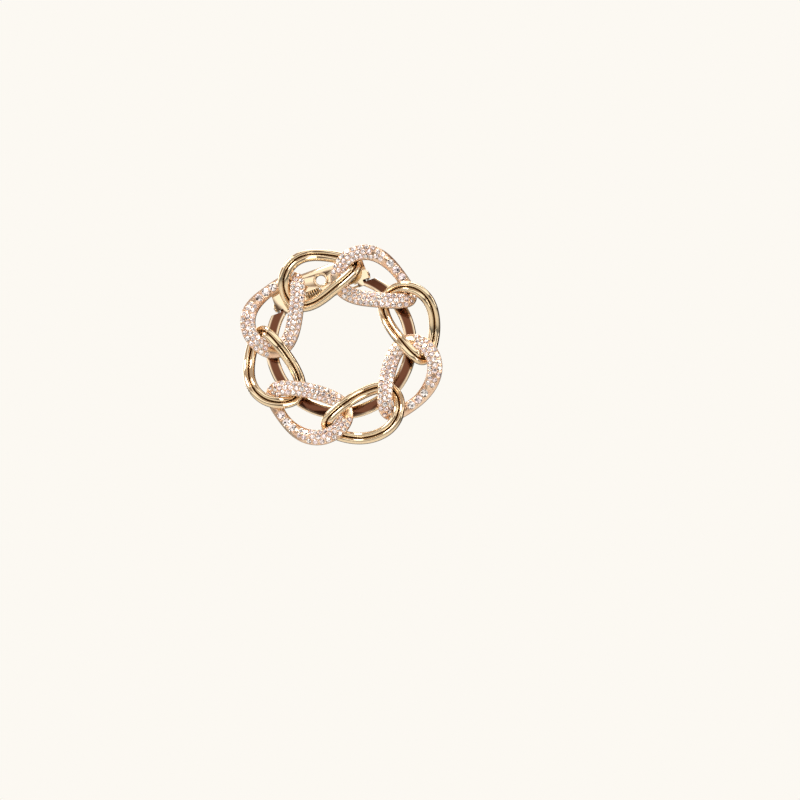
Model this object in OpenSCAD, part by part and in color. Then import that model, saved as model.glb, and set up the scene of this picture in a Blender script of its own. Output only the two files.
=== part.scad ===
// Scarf brooch: a wreath of eight interlocked oval links, polished and stone-set in turn,
// with a hinged spring clip behind it that grips the fabric.
//
// Millimetres.  The brooch stands upright as it is worn: the front looks along -Y, Z is up.
// The origin is the wreath's centre, in the plane of the wreath's back.

/* [Wreath] */
// Radius of the circle through the links' centres
wreath_r = 14.6; // [12:0.1:18]
// Turn of the first polished link from straight up, anticlockwise, in degrees
first_link_turn = 17.5; // [0:0.5:44]
// How far each link's end reaches into its neighbour
link_reach = 2.0; // [1.6:0.1:2.4]
// Half the distance between a link's outer and inner rails
link_half_w = 4.35; // [3.6:0.05:5.3]
// How far a link leans: its outer rail is pushed out at one end, its inner rail at the other
link_lean = 0.8; // [0.6:0.05:1]
// Clear gap between rails where two links cross
cross_gap = 0.06; // [0.02:0.01:0.12]

/* [Rails] */
// Width of a polished rail
ridge_w = 2.3; // [1.9:0.05:2.7]
// Depth of the groove between the two ridges
groove_d = 0.5; // [0.3:0.05:0.6]
// Width of a stone-set rail at its widest
pave_w = 3.0; // [2.5:0.05:3.1]
// How much narrower a stone-set rail is where the large stones stand, as a share of its width
pave_narrow = 0.24; // [0.1:0.02:0.28]
// Height of the dome on a stone-set rail
pave_dome = 0.55; // [0.4:0.05:0.65]
// Depth of every rail, front to back
rail_d = 2.0; // [1.6:0.05:2.4]

/* [Stones] */
// Diameter of a small stone
stone_d = 0.98; // [0.8:0.02:1.02]
// Distance between small stones along a rail
stone_pitch = 1.12; // [1.08:0.02:1.3]
// Distance between the rows of small stones
row_pitch = 0.96; // [0.9:0.02:1.0]
// Diameter of a large stone
large_stone_d = 1.6; // [1.3:0.05:1.75]
// Distance between large stones
large_pitch = 1.8; // [1.76:0.02:2]

/* [Clip] */
// Turn of the clip's hinge from the first polished link, in degrees
clip_turn = 2.5; // [0:0.5:5]
// Distance from the links' circle in to the hinge axis
hinge_inset = 2.0; // [1.6:0.1:2.4]
// How far the plate reaches out past the hinge axis
plate_rise = 4.5; // [3.6:0.1:5]
// Thickness of the plate's sheet
plate_t = 0.55; // [0.45:0.05:0.65]
// Gap between the links' backs and the plate
plate_gap = 0.15; // [0.1:0.05:0.3]
// Radius of the eyelet's bore
eyelet_r = 1.0; // [0.85:0.05:1.15]
// Mean radius of the clip ring's band, beyond the links' circle
ring_outset = -0.55; // [-1:0.05:0]
// How far the clip ring's centre stands from the wreath's centre towards the hinge
ring_rise = 1.0; // [0.8:0.1:1.2]
// Width of the clip ring's band
ring_w = 2.5; // [2.1:0.1:3]
// Thickness of the clip ring's band
ring_t = 0.8; // [0.7:0.05:0.95]
// Gap for fabric between the links' backs and the clip ring
fabric_gap = 1.2; // [1.1:0.05:1.4]

/* [Hinge] */
// Radius of the hinge pin
pin_r = 0.5; // [0.4:0.02:0.6]
// Wall of each rolled knuckle around the pin
knuckle_wall = 0.45; // [0.4:0.05:0.55]
// Length of each knuckle
knuckle_l = 2.5; // [2.1:0.1:3]
// Running clearance between the pin and a knuckle, on the radius
pin_clear = 0.05; // [0.03:0.01:0.08]
// Radius of the spring's wire
wire_r = 0.22; // [0.18:0.01:0.25]
// Turns in the spring's coil
coil_turns = 5; // [4:1:6]

/* [Hidden] */

GOLD = [0.90, 0.76, 0.52];
PALE_GOLD = [0.93, 0.80, 0.60];
STONE = [0.95, 0.95, 0.98];
SPRING_STEEL = [0.75, 0.72, 0.66];

// ---- Links ----
LINKS = 8;
link_step = 360 / LINKS;
link_half_l = wreath_r * sin(link_step / 2) + link_reach;
end_shift = 0.45;   // the clockwise end stands farther out than the other
belly = 0.42;       // both rails bow outwards in the middle
bank = 0.795;       // share of their slope across half a rail that crossing rails are lifted by
steepness = 0.1;    // steepens the climb past a link's ends
path_steps = 60;

// A link's centre line at angle q, seen from the front: X runs clockwise along the wreath and
// the second measure outwards
function plan_point(q) = [
    link_half_l * cos(q),
    wreath_r + link_half_w * sin(q) + end_shift * cos(q) - belly * cos(2 * q) - link_lean * sin(2 * q)
];

// The angles at which a link's clockwise half crosses its neighbour's other half
cross_steps = 45;
function on_next(p) = [
    p[0] * cos(link_step) + p[1] * sin(link_step),
    p[1] * cos(link_step) - p[0] * sin(link_step)
];
function crossings(from, to) = [
    for (i = [0:cross_steps]) for (j = [0:cross_steps])
        let (q = from + 90 * i / cross_steps, n = to + 90 * j / cross_steps)
        [norm(plan_point(q) - on_next(plan_point(n))), q, n]
];
function nearest(list) = let (least = min([for (c = list) c[0]])) [for (c = list) if (c[0] == least) c][0];
outer_cross = nearest(crossings(0, 90));
inner_cross = nearest(crossings(270, 180));

// The two rails rise and dip in turn, so each link passes over and under its neighbours.  The
// lift keeps their rails apart at the closer of the two crossings, for the rails' own slope.
function wave(q) = sin(2 * q) + steepness * sin(6 * q);
function slope_at(q) = abs(wave(q + 1) - wave(q - 1)) / norm(plan_point(q + 1) - plan_point(q - 1));
function rise_at(c) = abs(wave(c[1]) - wave(c[2])) - bank * pave_w / 2 * (slope_at(c[1]) + slope_at(c[2]));
lift = (rail_d + cross_gap) / min(rise_at(outer_cross), rise_at(inner_cross));
peak = max([for (q = [0:90]) wave(q)]);
mid_y = -lift * peak - rail_d / 2;
function link_point(q) = [plan_point(q)[0], mid_y + lift * wave(q), plan_point(q)[1]];

function unit(v) = v / norm(v);

// The direction along the path, and the one to the rail's side.  Every section stands square to
// the front, so the side walls stay upright where the rails climb.
FRONT = [0, -1, 0];
function link_along(q) = unit(link_point(q + 1) - link_point(q - 1));
function link_side(q) = unit(cross(link_along(q), FRONT));

// Half of a polished rail's section, as [side, front] points: wall, ridge and groove
function ridge_half(w, d) = [
    [0.30 * w, -0.50 * d],
    [0.46 * w, -0.38 * d],
    [0.50 * w, 0.18 * d],
    [0.44 * w, 0.40 * d],
    [0.30 * w, 0.50 * d],
    [0.14 * w, 0.42 * d]
];

// Half of a stone-set rail's section: wall and dome
function dome_height(x) = rail_d / 2 - pave_dome * pow(2 * x / pave_w, 2);
function pave_half(w, d) = [
    [0.32 * w, -0.50 * d],
    [0.47 * w, -0.36 * d],
    [0.50 * w, dome_height(0.5 * w)],
    [0.28 * w, dome_height(0.28 * w)]
];

function mirrored(half) = [for (i = [len(half) - 1:-1:0]) [-half[i][0], half[i][1]]];
function ridge_section() = concat(ridge_half(ridge_w, rail_d), [[0, rail_d / 2 - groove_d]],
                                  mirrored(ridge_half(ridge_w, rail_d)));
function pave_section() = concat(pave_half(pave_w, rail_d), [[0, rail_d / 2]],
                                 mirrored(pave_half(pave_w, rail_d)));

// A stone-set rail's width at angle q, as a share of its greatest
narrow_at = 62;
narrow_run = 34;
function pave_share(q) = 1 - pave_narrow * exp(-pow((q - narrow_at) / narrow_run, 2));

function section_at(q, section, share) = [
    for (p = section) link_point(q) + p[0] * share * link_side(q) + p[1] * FRONT
];

// Two triangles for each cell of a grid of points; the last column joins the first
function tube_faces(rings, sides, last) = [
    for (i = [0:last]) for (j = [0:sides - 1])
        let (k = (j + 1) % sides, n = (i + 1) % rings)
        each [[i * sides + j, i * sides + k, n * sides + k], [i * sides + j, n * sides + k, n * sides + j]]
];

module link_body(section, is_pave) {
    rings = [
        for (i = [0:path_steps - 1])
            let (q = i * 360 / path_steps) section_at(q, section, is_pave ? pave_share(q) : 1)
    ];
    polyhedron(points = [for (r = rings) each r],
               faces = tube_faces(path_steps, len(section), path_steps - 1));
}

// Link k counts clockwise from the first polished link
module at_link(k) rotate([0, -(first_link_turn - k * link_step), 0]) children();

module polished_link(i) color(GOLD) at_link(2 * (i - 1)) link_body(ridge_section(), false);
module pave_link(i) color(PALE_GOLD) at_link(2 * i - 1) link_body(pave_section(), true);

// ---- Stones ----
// Distance along a link's path against the angle, for spacing the stones evenly
walk = [for (q = 0, s = 0; q <= 360; s = s + norm(link_point(q + 2) - link_point(q)), q = q + 2) [s, q]];
walk_back = [for (w = walk) [w[1], w[0]]];
path_l = walk[len(walk) - 1][0];
function angle_at(s) = lookup(s, walk);
function run_to(q) = lookup(q, walk_back);

row_count = floor(path_l / stone_pitch);
cell_l = path_l / row_count;
stone_gap = 0.06;
pair_half = (stone_d + stone_gap) / 2;
two_row_share = 0.96;  // a rail narrower than this share has two rows in place of three
bare_half = 17;        // the rails are bare where a neighbour lies over them
under_outer = 30;
under_inner = 212;
LARGE_COUNT = 3;
large_from = run_to(56);
large_to = large_from + (LARGE_COUNT - 1) * large_pitch;
large_room = (large_stone_d + stone_d) / 2 + 0.08;

function near(q, at, half) = abs((q - at + 540) % 360 - 180) < half;
function is_bare(q) = near(q, under_outer, bare_half) || near(q, under_inner, bare_half);
function is_large(s) = s > large_from - large_room && s < large_to + large_room;
function is_three(n) = pave_share(angle_at((n + 0.5) * cell_l)) > two_row_share;

// Rows crowd together inside a bend, so the stones there are smaller
function dome_point(q, x) = link_point(q) + x * link_side(q) + dome_height(x / pave_share(q)) * FRONT;
function wrapped(s) = s < 0 ? s + path_l : s > path_l ? s - path_l : s;
function at_run(s, x) = dome_point(angle_at(wrapped(s)), x);
function fitting_d(s, x) = min(stone_d, norm(at_run(s + cell_l / 2, x) - at_run(s - cell_l / 2, x)) - stone_gap);

// A round brilliant: table, crown, girdle and pavilion, with its girdle at zero height
module brilliant(d) {
    r = d / 2;
    rotate_extrude($fn = 32)
        polygon([[0, -0.8 * r], [r, -0.06 * r], [r, 0.06 * r], [0.56 * r, 0.36 * r], [0, 0.36 * r]]);
}

// Stands its child on the rail's dome at angle q, x to the side, with its axis along the dome's normal
module on_dome(q, x) {
    share = pave_share(q);
    side = link_side(q);
    slope = 8 * pave_dome * x / pow(pave_w * share, 2);
    along = link_along(q);
    out = unit(cross(side - slope * FRONT, along));
    across = cross(out, along);
    p = dome_point(q, x);
    multmatrix([
        [along[0], across[0], out[0], p[0]],
        [along[1], across[1], out[1], p[1]],
        [along[2], across[2], out[2], p[2]],
        [0, 0, 0, 1]
    ]) children();
}

// Rows along a link's rail between two angles.  In three rows the side ones stand half a pitch
// along from the middle one, which starts one pitch after the side ones.
module small_stones(i, from, to) color(STONE) at_link(2 * i - 1)
    for (n = [0:row_count - 1]) for (row = [-1:1]) {
        s = (n + (is_three(n) && row == 0 ? 0.25 : 0.75)) * cell_l;
        q = angle_at(s);
        x = row * (is_three(n) ? row_pitch : pair_half);
        is_free = !is_large(s) && !is_bare(q) && (row != 0 || (is_three(n) && is_three(n - 1)));
        if (is_free && q > from && q < to) on_dome(q, x) brilliant(fitting_d(s, x));
    }

module large_stones(i) color(STONE) at_link(2 * i - 1)
    for (n = [0:LARGE_COUNT - 1]) on_dome(angle_at(large_from + n * large_pitch), 0) brilliant(large_stone_d);

// ---- Solder between links ----
solder_r = 0.55;
module solder_between(c) {
    p = link_point(c[1]);
    n = link_point(c[2]);
    next_p = on_next([n[0], n[2]]);
    translate([(p[0] + next_p[0]) / 2, min(p[1], n[1]), (p[2] + next_p[1]) / 2])
        rotate([-90, 0, 0])
            cylinder(h = abs(p[1] - n[1]), r = solder_r, $fn = 32);
}

module link_solder() color(PALE_GOLD)
    for (k = [0:LINKS - 1]) at_link(k) {
        solder_between(outer_cross);
        solder_between(inner_cross);
    }

// ---- Clip ----
// In the clip's own frame X runs along the hinge axis, Z out from the centre and Y to the back.
hinge_z = wreath_r - hinge_inset;
ring_mid_r = wreath_r + ring_outset;
ring_front_y = fabric_gap;
knuckle_r = pin_r + pin_clear + knuckle_wall;
plate_back_y = plate_gap + plate_t;
pin_y = ring_front_y + ring_t;
hinge_rel_z = hinge_z - ring_rise;
band_half_x = sqrt(pow(ring_mid_r, 2) - pow(hinge_rel_z, 2));
knuckle_x = band_half_x - knuckle_l / 2;
end_clear = 0.15;
ear_x = knuckle_x + knuckle_l + end_clear;
arm_reach = knuckle_r + 0.3;
seat_gap = 0.02;

module in_clip_frame() rotate([0, -(first_link_turn + clip_turn), 0]) children();

// Extrudes a [Y, Z] outline along X from x
module along_hinge(x, l) translate([x, 0, 0]) rotate([90, 0, 90]) linear_extrude(l) children();

module round_on_hinge(x, l, r) along_hinge(x, l) translate([pin_y, hinge_z]) circle(r, $fn = 48);

plate_bevel = 0.5;
lip_back_y = 1.5;
eyelet_x = 0.6;
eyelet_z = hinge_z + 1.9;
eyelet_wall = 0.25;
plate_low_z = hinge_z - 1;
plate_top_z = hinge_z + plate_rise;
ear_tip_r = knuckle_r + 0.1;
coil_r = pin_y - plate_back_y - wire_r - 0.03;
coil_pitch = 2 * wire_r + 0.06;
coil_l = coil_turns * coil_pitch;
coil_end_gap = 0.5;           // from the plate's middle to the coil
coil_x = -coil_end_gap - coil_l;
slot_side = 0.2;              // clear space beside the coil in the plate's slot
slot_rise = 0.6;              // the slot's top, above the hinge axis
stop_r = 0.35;
stop_x = band_half_x;
stop_z = hinge_z - knuckle_r - 0.5;
tongue_half = 0.6;

// The sheet's section: a flat face, a bevel and a lip that turns back along the top
module plate_section() polygon([
    [plate_gap, plate_low_z],
    [plate_gap, plate_top_z - plate_bevel],
    [plate_gap + plate_bevel, plate_top_z],
    [lip_back_y, plate_top_z],
    [lip_back_y, plate_top_z - plate_t],
    [plate_gap + plate_bevel + 0.2, plate_top_z - plate_t],
    [plate_back_y, plate_top_z - plate_bevel - 0.3],
    [plate_back_y, plate_low_z]
]);

// An ear turned back at the plate's end, round about the pin
module ear_section() {
    polygon([
        [plate_gap, plate_low_z],
        [plate_gap, plate_top_z - plate_bevel],
        [plate_gap + plate_bevel, plate_top_z],
        [lip_back_y, plate_top_z],
        [pin_y + 0.9 * ear_tip_r, hinge_z + 0.45 * ear_tip_r],
        [pin_y, hinge_z - ear_tip_r],
        [plate_back_y, plate_low_z]
    ]);
    translate([pin_y, hinge_z]) circle(ear_tip_r, $fn = 48);
}

module clip_plate() color(GOLD) in_clip_frame() {
    difference() {
        union() {
            along_hinge(-ear_x, 2 * ear_x) plate_section();
            for (x = [-ear_x - plate_t, ear_x]) along_hinge(x, plate_t) ear_section();
            for (side = [-1, 1]) translate([side * stop_x - tongue_half, plate_gap, stop_z - tongue_half])
                cube([2 * tongue_half, plate_t, plate_low_z - stop_z + 2 * tongue_half]);
        }
        round_on_hinge(-ear_x - 1, 2 * ear_x + 2, pin_r + seat_gap);
        translate([coil_x - wire_r - slot_side, -1, plate_low_z - 1])
            cube([coil_l + 2 * wire_r + 2 * slot_side, 4, hinge_z + slot_rise - plate_low_z + 1]);
        translate([eyelet_x, -1, eyelet_z]) rotate([-90, 0, 0])
            cylinder(h = 4, r = eyelet_r + eyelet_wall + seat_gap, $fn = 48);
    }
    for (side = [-1, 1]) translate([side * stop_x, plate_back_y, stop_z]) rotate([-90, 0, 0])
        cylinder(h = ring_front_y - plate_back_y - 0.04, r = stop_r, $fn = 32);
}

// A rimmed tube set in the plate's middle
module eyelet() color(PALE_GOLD) in_clip_frame() translate([eyelet_x, 0, eyelet_z]) rotate([-90, 0, 0])
    rotate_extrude($fn = 48) polygon([
        [eyelet_r, plate_gap - 0.12],
        [eyelet_r + 0.12, plate_gap - 0.24],
        [eyelet_r + 0.38, plate_gap - 0.24],
        [eyelet_r + 0.50, plate_gap - 0.02],
        [eyelet_r + eyelet_wall, plate_gap - 0.02],
        [eyelet_r + eyelet_wall, plate_back_y + 0.15],
        [eyelet_r, plate_back_y + 0.15]
    ]);

// A short post from a rail's back to the plate's front; q is its place on link k
post_r = 0.5;
post_into_rail = 0.5;
module solder_post(k, q) color(PALE_GOLD) at_link(k) {
    p = link_point(q);
    back = p[1] + rail_d / 2;
    translate([p[0], back - post_into_rail, p[2]]) rotate([-90, 0, 0])
        cylinder(h = plate_gap - back + post_into_rail, r = post_r, $fn = 32);
}

pin_stick = 0.5;
washer_t = 0.35;
washer_r = 0.85;
module hinge_pin() color(SPRING_STEEL) in_clip_frame()
    round_on_hinge(-ear_x - plate_t - pin_stick, 2 * (ear_x + plate_t + pin_stick), pin_r);

module pin_washer(side) color(GOLD) in_clip_frame() difference() {
    x = ear_x + plate_t + seat_gap;
    round_on_hinge(side > 0 ? x : -x - washer_t, washer_t, washer_r);
    round_on_hinge(-x - 1, 2 * x + 2, pin_r + seat_gap);
}

// The ring's band, with chamfered edges, cut off at the hinge and rolled round the pin
chamfer = 0.2;
module clip_ring() color(GOLD) in_clip_frame() difference() {
    union() {
        difference() {
            translate([0, 0, ring_rise]) rotate([-90, 0, 0]) rotate_extrude($fn = 96) polygon([
                [ring_mid_r - ring_w / 2, ring_front_y + chamfer],
                [ring_mid_r - ring_w / 2 + chamfer, ring_front_y],
                [ring_mid_r + ring_w / 2 - chamfer, ring_front_y],
                [ring_mid_r + ring_w / 2, ring_front_y + chamfer],
                [ring_mid_r + ring_w / 2, ring_front_y + ring_t - chamfer],
                [ring_mid_r + ring_w / 2 - chamfer, ring_front_y + ring_t],
                [ring_mid_r - ring_w / 2 + chamfer, ring_front_y + ring_t],
                [ring_mid_r - ring_w / 2, ring_front_y + ring_t - chamfer]
            ]);
            translate([-20, -1, hinge_z]) cube([40, 8, 20]);
            for (x = [-20, knuckle_x + knuckle_l]) translate([x, -1, hinge_z - arm_reach])
                cube([20 - knuckle_x - knuckle_l, 8, 20]);
            translate([-knuckle_x, -1, hinge_z - arm_reach]) cube([2 * knuckle_x, 8, 20]);
        }
        for (x = [-knuckle_x - knuckle_l, knuckle_x]) round_on_hinge(x, knuckle_l, knuckle_r);
    }
    round_on_hinge(-20, 40, pin_r + pin_clear);
}

// ---- Spring ----
// The fixed leg lies against the plate's back, and the other crosses behind the ring's right arm
leg_up = 3.2;
bar_drop = 1.5;
coil_sides = 16;
wire_sides = 8;
bar_y = ring_front_y + ring_t + wire_r + 0.08;
bar_end_x = band_half_x + 1.1;
helix = [
    for (i = [0:coil_sides * coil_turns + coil_sides / 4])
        let (a = 180 + 360 * i / coil_sides)
        [coil_x + coil_pitch * i / coil_sides, pin_y + coil_r * cos(a), hinge_z + coil_r * sin(a)]
];
coil_end_x = helix[len(helix) - 1][0];
wire_path = concat(
    [for (s = [leg_up:-leg_up / 4:leg_up / 4]) [coil_x, pin_y - coil_r, hinge_z + s]],
    helix,
    [
        [coil_end_x + 0.25, pin_y + 0.22, hinge_z - coil_r - 0.12],
        [coil_end_x + 0.65, (pin_y + bar_y) / 2 + 0.14, hinge_z - (coil_r + bar_drop) / 2 - 0.06],
        [coil_end_x + 1.2, bar_y, hinge_z - bar_drop],
        [(coil_end_x + bar_end_x) / 2, bar_y, hinge_z - bar_drop],
        [bar_end_x, bar_y, hinge_z - bar_drop]
    ]
);

function wire_at(i) = wire_path[min(i, len(wire_path) - 1)];
function wire_along(i) = unit(wire_at(i + 1) - wire_at(max(i, 1) - 1));
function squared(v, a) = unit(v - (v * a) * a);
wire_sides_out = [
    for (i = 0, v = [1, 0, 0]; i < len(wire_path); i = i + 1, v = squared(v, wire_along(i))) v
];
wire_rings = [
    for (i = [0:len(wire_path) - 1])
        let (a = wire_along(i), u = squared(wire_sides_out[i], a), w = cross(a, u))
        [for (j = [0:wire_sides - 1])
            let (t = 360 * j / wire_sides) wire_path[i] + wire_r * (cos(t) * u - sin(t) * w)]
];

module torsion_spring() color(SPRING_STEEL) in_clip_frame() {
    n = len(wire_rings);
    polyhedron(
        points = [for (r = wire_rings) each r],
        faces = concat(
            tube_faces(n, wire_sides, n - 2),
            [[for (j = [wire_sides - 1:-1:0]) j]],
            [[for (j = [0:wire_sides - 1]) (n - 1) * wire_sides + j]]
        )
    );
}

// ---- Assembly ----
polished_link(1);  // polished_link_1
polished_link(2);  // polished_link_2
polished_link(3);  // polished_link_3
polished_link(4);  // polished_link_4
pave_link(1);  // pave_link_1
pave_link(2);  // pave_link_2
pave_link(3);  // pave_link_3
pave_link(4);  // pave_link_4
small_stones(1, 0, 180);  // outer_stones_1
small_stones(2, 0, 180);  // outer_stones_2
small_stones(3, 0, 180);  // outer_stones_3
small_stones(4, 0, 180);  // outer_stones_4
small_stones(1, 180, 270);  // inner_stones_1
small_stones(2, 180, 270);  // inner_stones_2
small_stones(3, 180, 270);  // inner_stones_3
small_stones(4, 180, 270);  // inner_stones_4
small_stones(1, 270, 360);  // end_stones_1
small_stones(2, 270, 360);  // end_stones_2
small_stones(3, 270, 360);  // end_stones_3
small_stones(4, 270, 360);  // end_stones_4
large_stones(1);  // large_stones_1
large_stones(2);  // large_stones_2
large_stones(3);  // large_stones_3
large_stones(4);  // large_stones_4
link_solder();
clip_plate();
eyelet();
solder_post(0, 25);  // solder_post_1
solder_post(7, 57);  // solder_post_2
solder_post(1, 205);  // solder_post_3
hinge_pin();
pin_washer(-1);  // pin_washer_1
pin_washer(1);  // pin_washer_2
torsion_spring();
clip_ring();
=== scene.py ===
"""A scarf brooch: a wreath of eight interlocked links with a sprung clip ring hinged behind it.

The brooch stands upright as it is worn: the front looks along -Y and Z is up.  Shapes are worked
out in millimetres, and their meshes are in metres.
"""
import math

import bmesh
import bpy
import numpy as np
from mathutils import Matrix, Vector


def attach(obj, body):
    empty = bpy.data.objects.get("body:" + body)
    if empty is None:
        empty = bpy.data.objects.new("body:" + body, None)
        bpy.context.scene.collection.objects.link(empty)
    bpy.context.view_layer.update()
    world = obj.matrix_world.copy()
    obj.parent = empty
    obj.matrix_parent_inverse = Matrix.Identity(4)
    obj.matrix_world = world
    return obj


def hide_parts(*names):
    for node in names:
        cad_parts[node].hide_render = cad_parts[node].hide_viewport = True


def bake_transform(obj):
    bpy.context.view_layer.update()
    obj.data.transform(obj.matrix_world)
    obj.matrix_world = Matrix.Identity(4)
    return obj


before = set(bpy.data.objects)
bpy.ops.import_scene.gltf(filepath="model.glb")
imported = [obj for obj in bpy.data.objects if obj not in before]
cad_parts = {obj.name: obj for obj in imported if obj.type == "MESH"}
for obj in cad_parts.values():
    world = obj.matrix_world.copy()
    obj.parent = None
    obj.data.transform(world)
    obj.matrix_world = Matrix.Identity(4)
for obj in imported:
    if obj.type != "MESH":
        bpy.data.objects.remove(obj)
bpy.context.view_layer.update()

MM = 0.001
X_AXIS = np.array([1.0, 0.0, 0.0])
Z_AXIS = np.array([0.0, 0.0, 1.0])
FRONT = np.array([0.0, -1.0, 0.0])

# ---- Sizes, in millimetres and degrees, and shares of other sizes ----
# Wreath
WREATH_R = 14.6
FIRST_LINK_TURN = 17.5
LINK_STEP = 45
LINK_REACH = 2.0
LINK_HALF_W = 4.35
LINK_LEAN = 0.8
CROSS_GAP = 0.06
END_SHIFT = 0.45
BELLY = 0.42
BANK = 0.795
STEEPNESS = 0.1
# Rails
RIDGE_W = 2.3
GROOVE_D = 0.5
PAVE_W = 3.0
PAVE_NARROW = 0.24
NARROW_AT = 62
NARROW_RUN = 34
PAVE_DOME = 0.55
RAIL_D = 2.0
POLISHED_STEPS = 288
PAVE_STEPS = 400
WALK_STEP = 2.0
# Stones
STONE_D = 0.98
STONE_PITCH = 1.12
ROW_PITCH = 0.96
STONE_GAP = 0.06
STONE_TILT = 0.035
SMALLEST_SHARE = 0.965
TWO_ROW_SHARE = 0.96
BARE_HALF = 17
UNDER_OUTER = 30
UNDER_INNER = 212
LARGE_STONE_D = 1.6
LARGE_PITCH = 1.8
LARGE_COUNT = 3
LARGE_FROM = 56
LARGE_GAP = 0.08
SEAT_D = 0.16
RIM_H = 0.05
# Stones' cut and seats, in stone radii
TABLE_R = 0.56
CROWN_H = 0.36
CULET_D = 0.8
SEAT_R = 0.95
RIM_R = 1.14
RIM_RUN = 0.12
# Beads
LARGE_BEAD_R = 0.2
LARGE_BEAD_X = 0.66
BEAD_RISE = 0.35
BEAD_SIDES = 7
# Clip
CLIP_TURN = 2.5
HINGE_Z = WREATH_R - 2.0
PLATE_GAP = 0.15
PLATE_T = 0.55
EYELET_R = 1.0
EYELET_WALL = 0.25
EYELET_X = 0.6
EYELET_Z = HINGE_Z + 1.9
RING_OUTSET = -0.55
RING_RISE = 1.0
RING_T = 0.8
# Bounds of the ring's painted dark reflection: distances from the band's middle, and depths past the
# fabric gap
RING_REFLECTION_EDGE = (0.62, 1.02)
RING_REFLECTION_DEPTH = (0.05, 0.3)
FABRIC_GAP = 1.2
PIN_R = 0.5
PIN_STICK = 0.5
PEEN_H = 0.28
PEEN_L = 0.4
PIN_Y = FABRIC_GAP + RING_T
KNUCKLE_L = 2.5
KNUCKLE_GAP = 0.15
ARM_X = math.sqrt((WREATH_R + RING_OUTSET) ** 2 - (HINGE_Z - RING_RISE) ** 2)
EAR_X = ARM_X + KNUCKLE_L / 2 + KNUCKLE_GAP
WASHER_T = 0.35
WASHER_R = 0.85
WASHER_GAP = 0.02
# Spring
WIRE_R = 0.22
COIL_TURNS = 5
COIL_PITCH = 2 * WIRE_R + 0.06
COIL_R = PIN_Y - PLATE_GAP - PLATE_T - WIRE_R - 0.03
COIL_X = -0.5 - COIL_TURNS * COIL_PITCH
LEG_UP = 3.2
BAR_DROP = 1.5
BAR_Y = FABRIC_GAP + RING_T + WIRE_R + 0.08
BAR_PAST_ARM = 1.1
BAR_END_X = EAR_X - KNUCKLE_L / 2 - KNUCKLE_GAP + BAR_PAST_ARM
# Solder
SOLDER_R = 0.55
POST_R = 0.5
POST_SUNK = 0.5
POSTS = ((0, 25), (7, 57), (1, 205))


# ---- Shader tools ----
class Value:
    """A socket that does arithmetic by adding Math nodes to its look."""

    def __init__(self, look, socket):
        self.look = look
        self.socket = socket

    def math(self, operation, first, second=0.0):
        return self.look.node("ShaderNodeMath", {"operation": operation}, {0: first, 1: second})

    def __add__(self, other):
        return self.math("ADD", self, other)

    def __radd__(self, other):
        return self.math("ADD", other, self)

    def __sub__(self, other):
        return self.math("SUBTRACT", self, other)

    def __rsub__(self, other):
        return self.math("SUBTRACT", other, self)

    def __mul__(self, other):
        return self.math("MULTIPLY", self, other)

    def __rmul__(self, other):
        return self.math("MULTIPLY", other, self)


class Look:
    """The nodes of one finish, or of the world."""

    def __init__(self, tree):
        self.tree = tree
        tree.nodes.clear()

    def node(self, kind, settings=None, inputs=None, output=0):
        """Adds a node, makes its settings, fills its sockets and gives one of its outputs."""
        made = self.tree.nodes.new(kind)
        for name, setting in (settings or {}).items():
            if name == "stops":
                elements = made.color_ramp.elements
                elements.remove(elements[1])
                elements[0].position, elements[0].color = setting[0]
                for place, colour in setting[1:]:
                    elements.new(place).color = colour
            else:
                setattr(made, name, setting)
        for name, value in (inputs or {}).items():
            if isinstance(value, Value):
                self.tree.links.new(value.socket, made.inputs[name])
            else:
                made.inputs[name].default_value = value
        return Value(self, made.outputs[output]) if made.outputs else None

    def mix(self, share, first, second):
        """A colour that goes from the first to the second as share goes from 0 to 1."""
        return self.node(
            "ShaderNodeMix", {"data_type": "RGBA"}, {0: share, 6: first, 7: second}, output=2
        )

    def noise(self, where, scale, detail=2.0):
        return self.node(
            "ShaderNodeTexNoise", {}, {"Vector": where, "Scale": scale, "Detail": detail}
        )

    def stretched(self, where, scale):
        """Coordinates multiplied along each axis."""
        return self.node(
            "ShaderNodeMapping", {"vector_type": "POINT"}, {"Vector": where, "Scale": scale}
        )

    def bump(self, height, distance, over=None):
        """A normal for a height that stands up to so many millimetres, over another one if given."""
        inputs = {"Height": height, "Distance": distance * MM}
        if over:
            inputs["Normal"] = over
        return self.node("ShaderNodeBump", {}, inputs)

    def vector(self, operation, first, second, output):
        """A Vector Math node's output of that name."""
        return self.node(
            "ShaderNodeVectorMath", {"operation": operation}, {0: first, 1: second}, output
        )

    def between(self, value, low, high):
        """0 where the value is low, 1 where it is high, smooth in between."""
        return self.node(
            "ShaderNodeMapRange",
            {"interpolation_type": "SMOOTHSTEP"},
            {"Value": value, "From Min": low, "From Max": high},
        )

    def on_object(self):
        return self.node("ShaderNodeTexCoord", output="Object")

    def on_surface(self):
        """The piece's own map: millimetres along it and around it."""
        return self.node("ShaderNodeUVMap", {"uv_map": "run"})

    def painted(self, name, output="Fac"):
        """What a mesh attribute holds."""
        return self.node("ShaderNodeAttribute", {"attribute_name": name}, output=output)


def rgb(red, green, blue):
    return (red, green, blue, 1.0)


PALE = rgb(0.975, 0.945, 0.89)
WAVE_SCALE = 420.0
SMEAR_SCALE = 900.0


def new_look(name):
    """A material and the look that fills its nodes."""
    material = bpy.data.materials.new(name)
    material.use_nodes = True
    return material, Look(material.node_tree)


def surface(look, **inputs):
    """Ends a look in one shader; a socket's name has _ for each space."""
    sockets = {name.replace("_", " "): value for name, value in inputs.items()}
    shader = look.node("ShaderNodeBsdfPrincipled", {}, sockets)
    look.node("ShaderNodeOutputMaterial", {}, {"Surface": shader})


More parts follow.
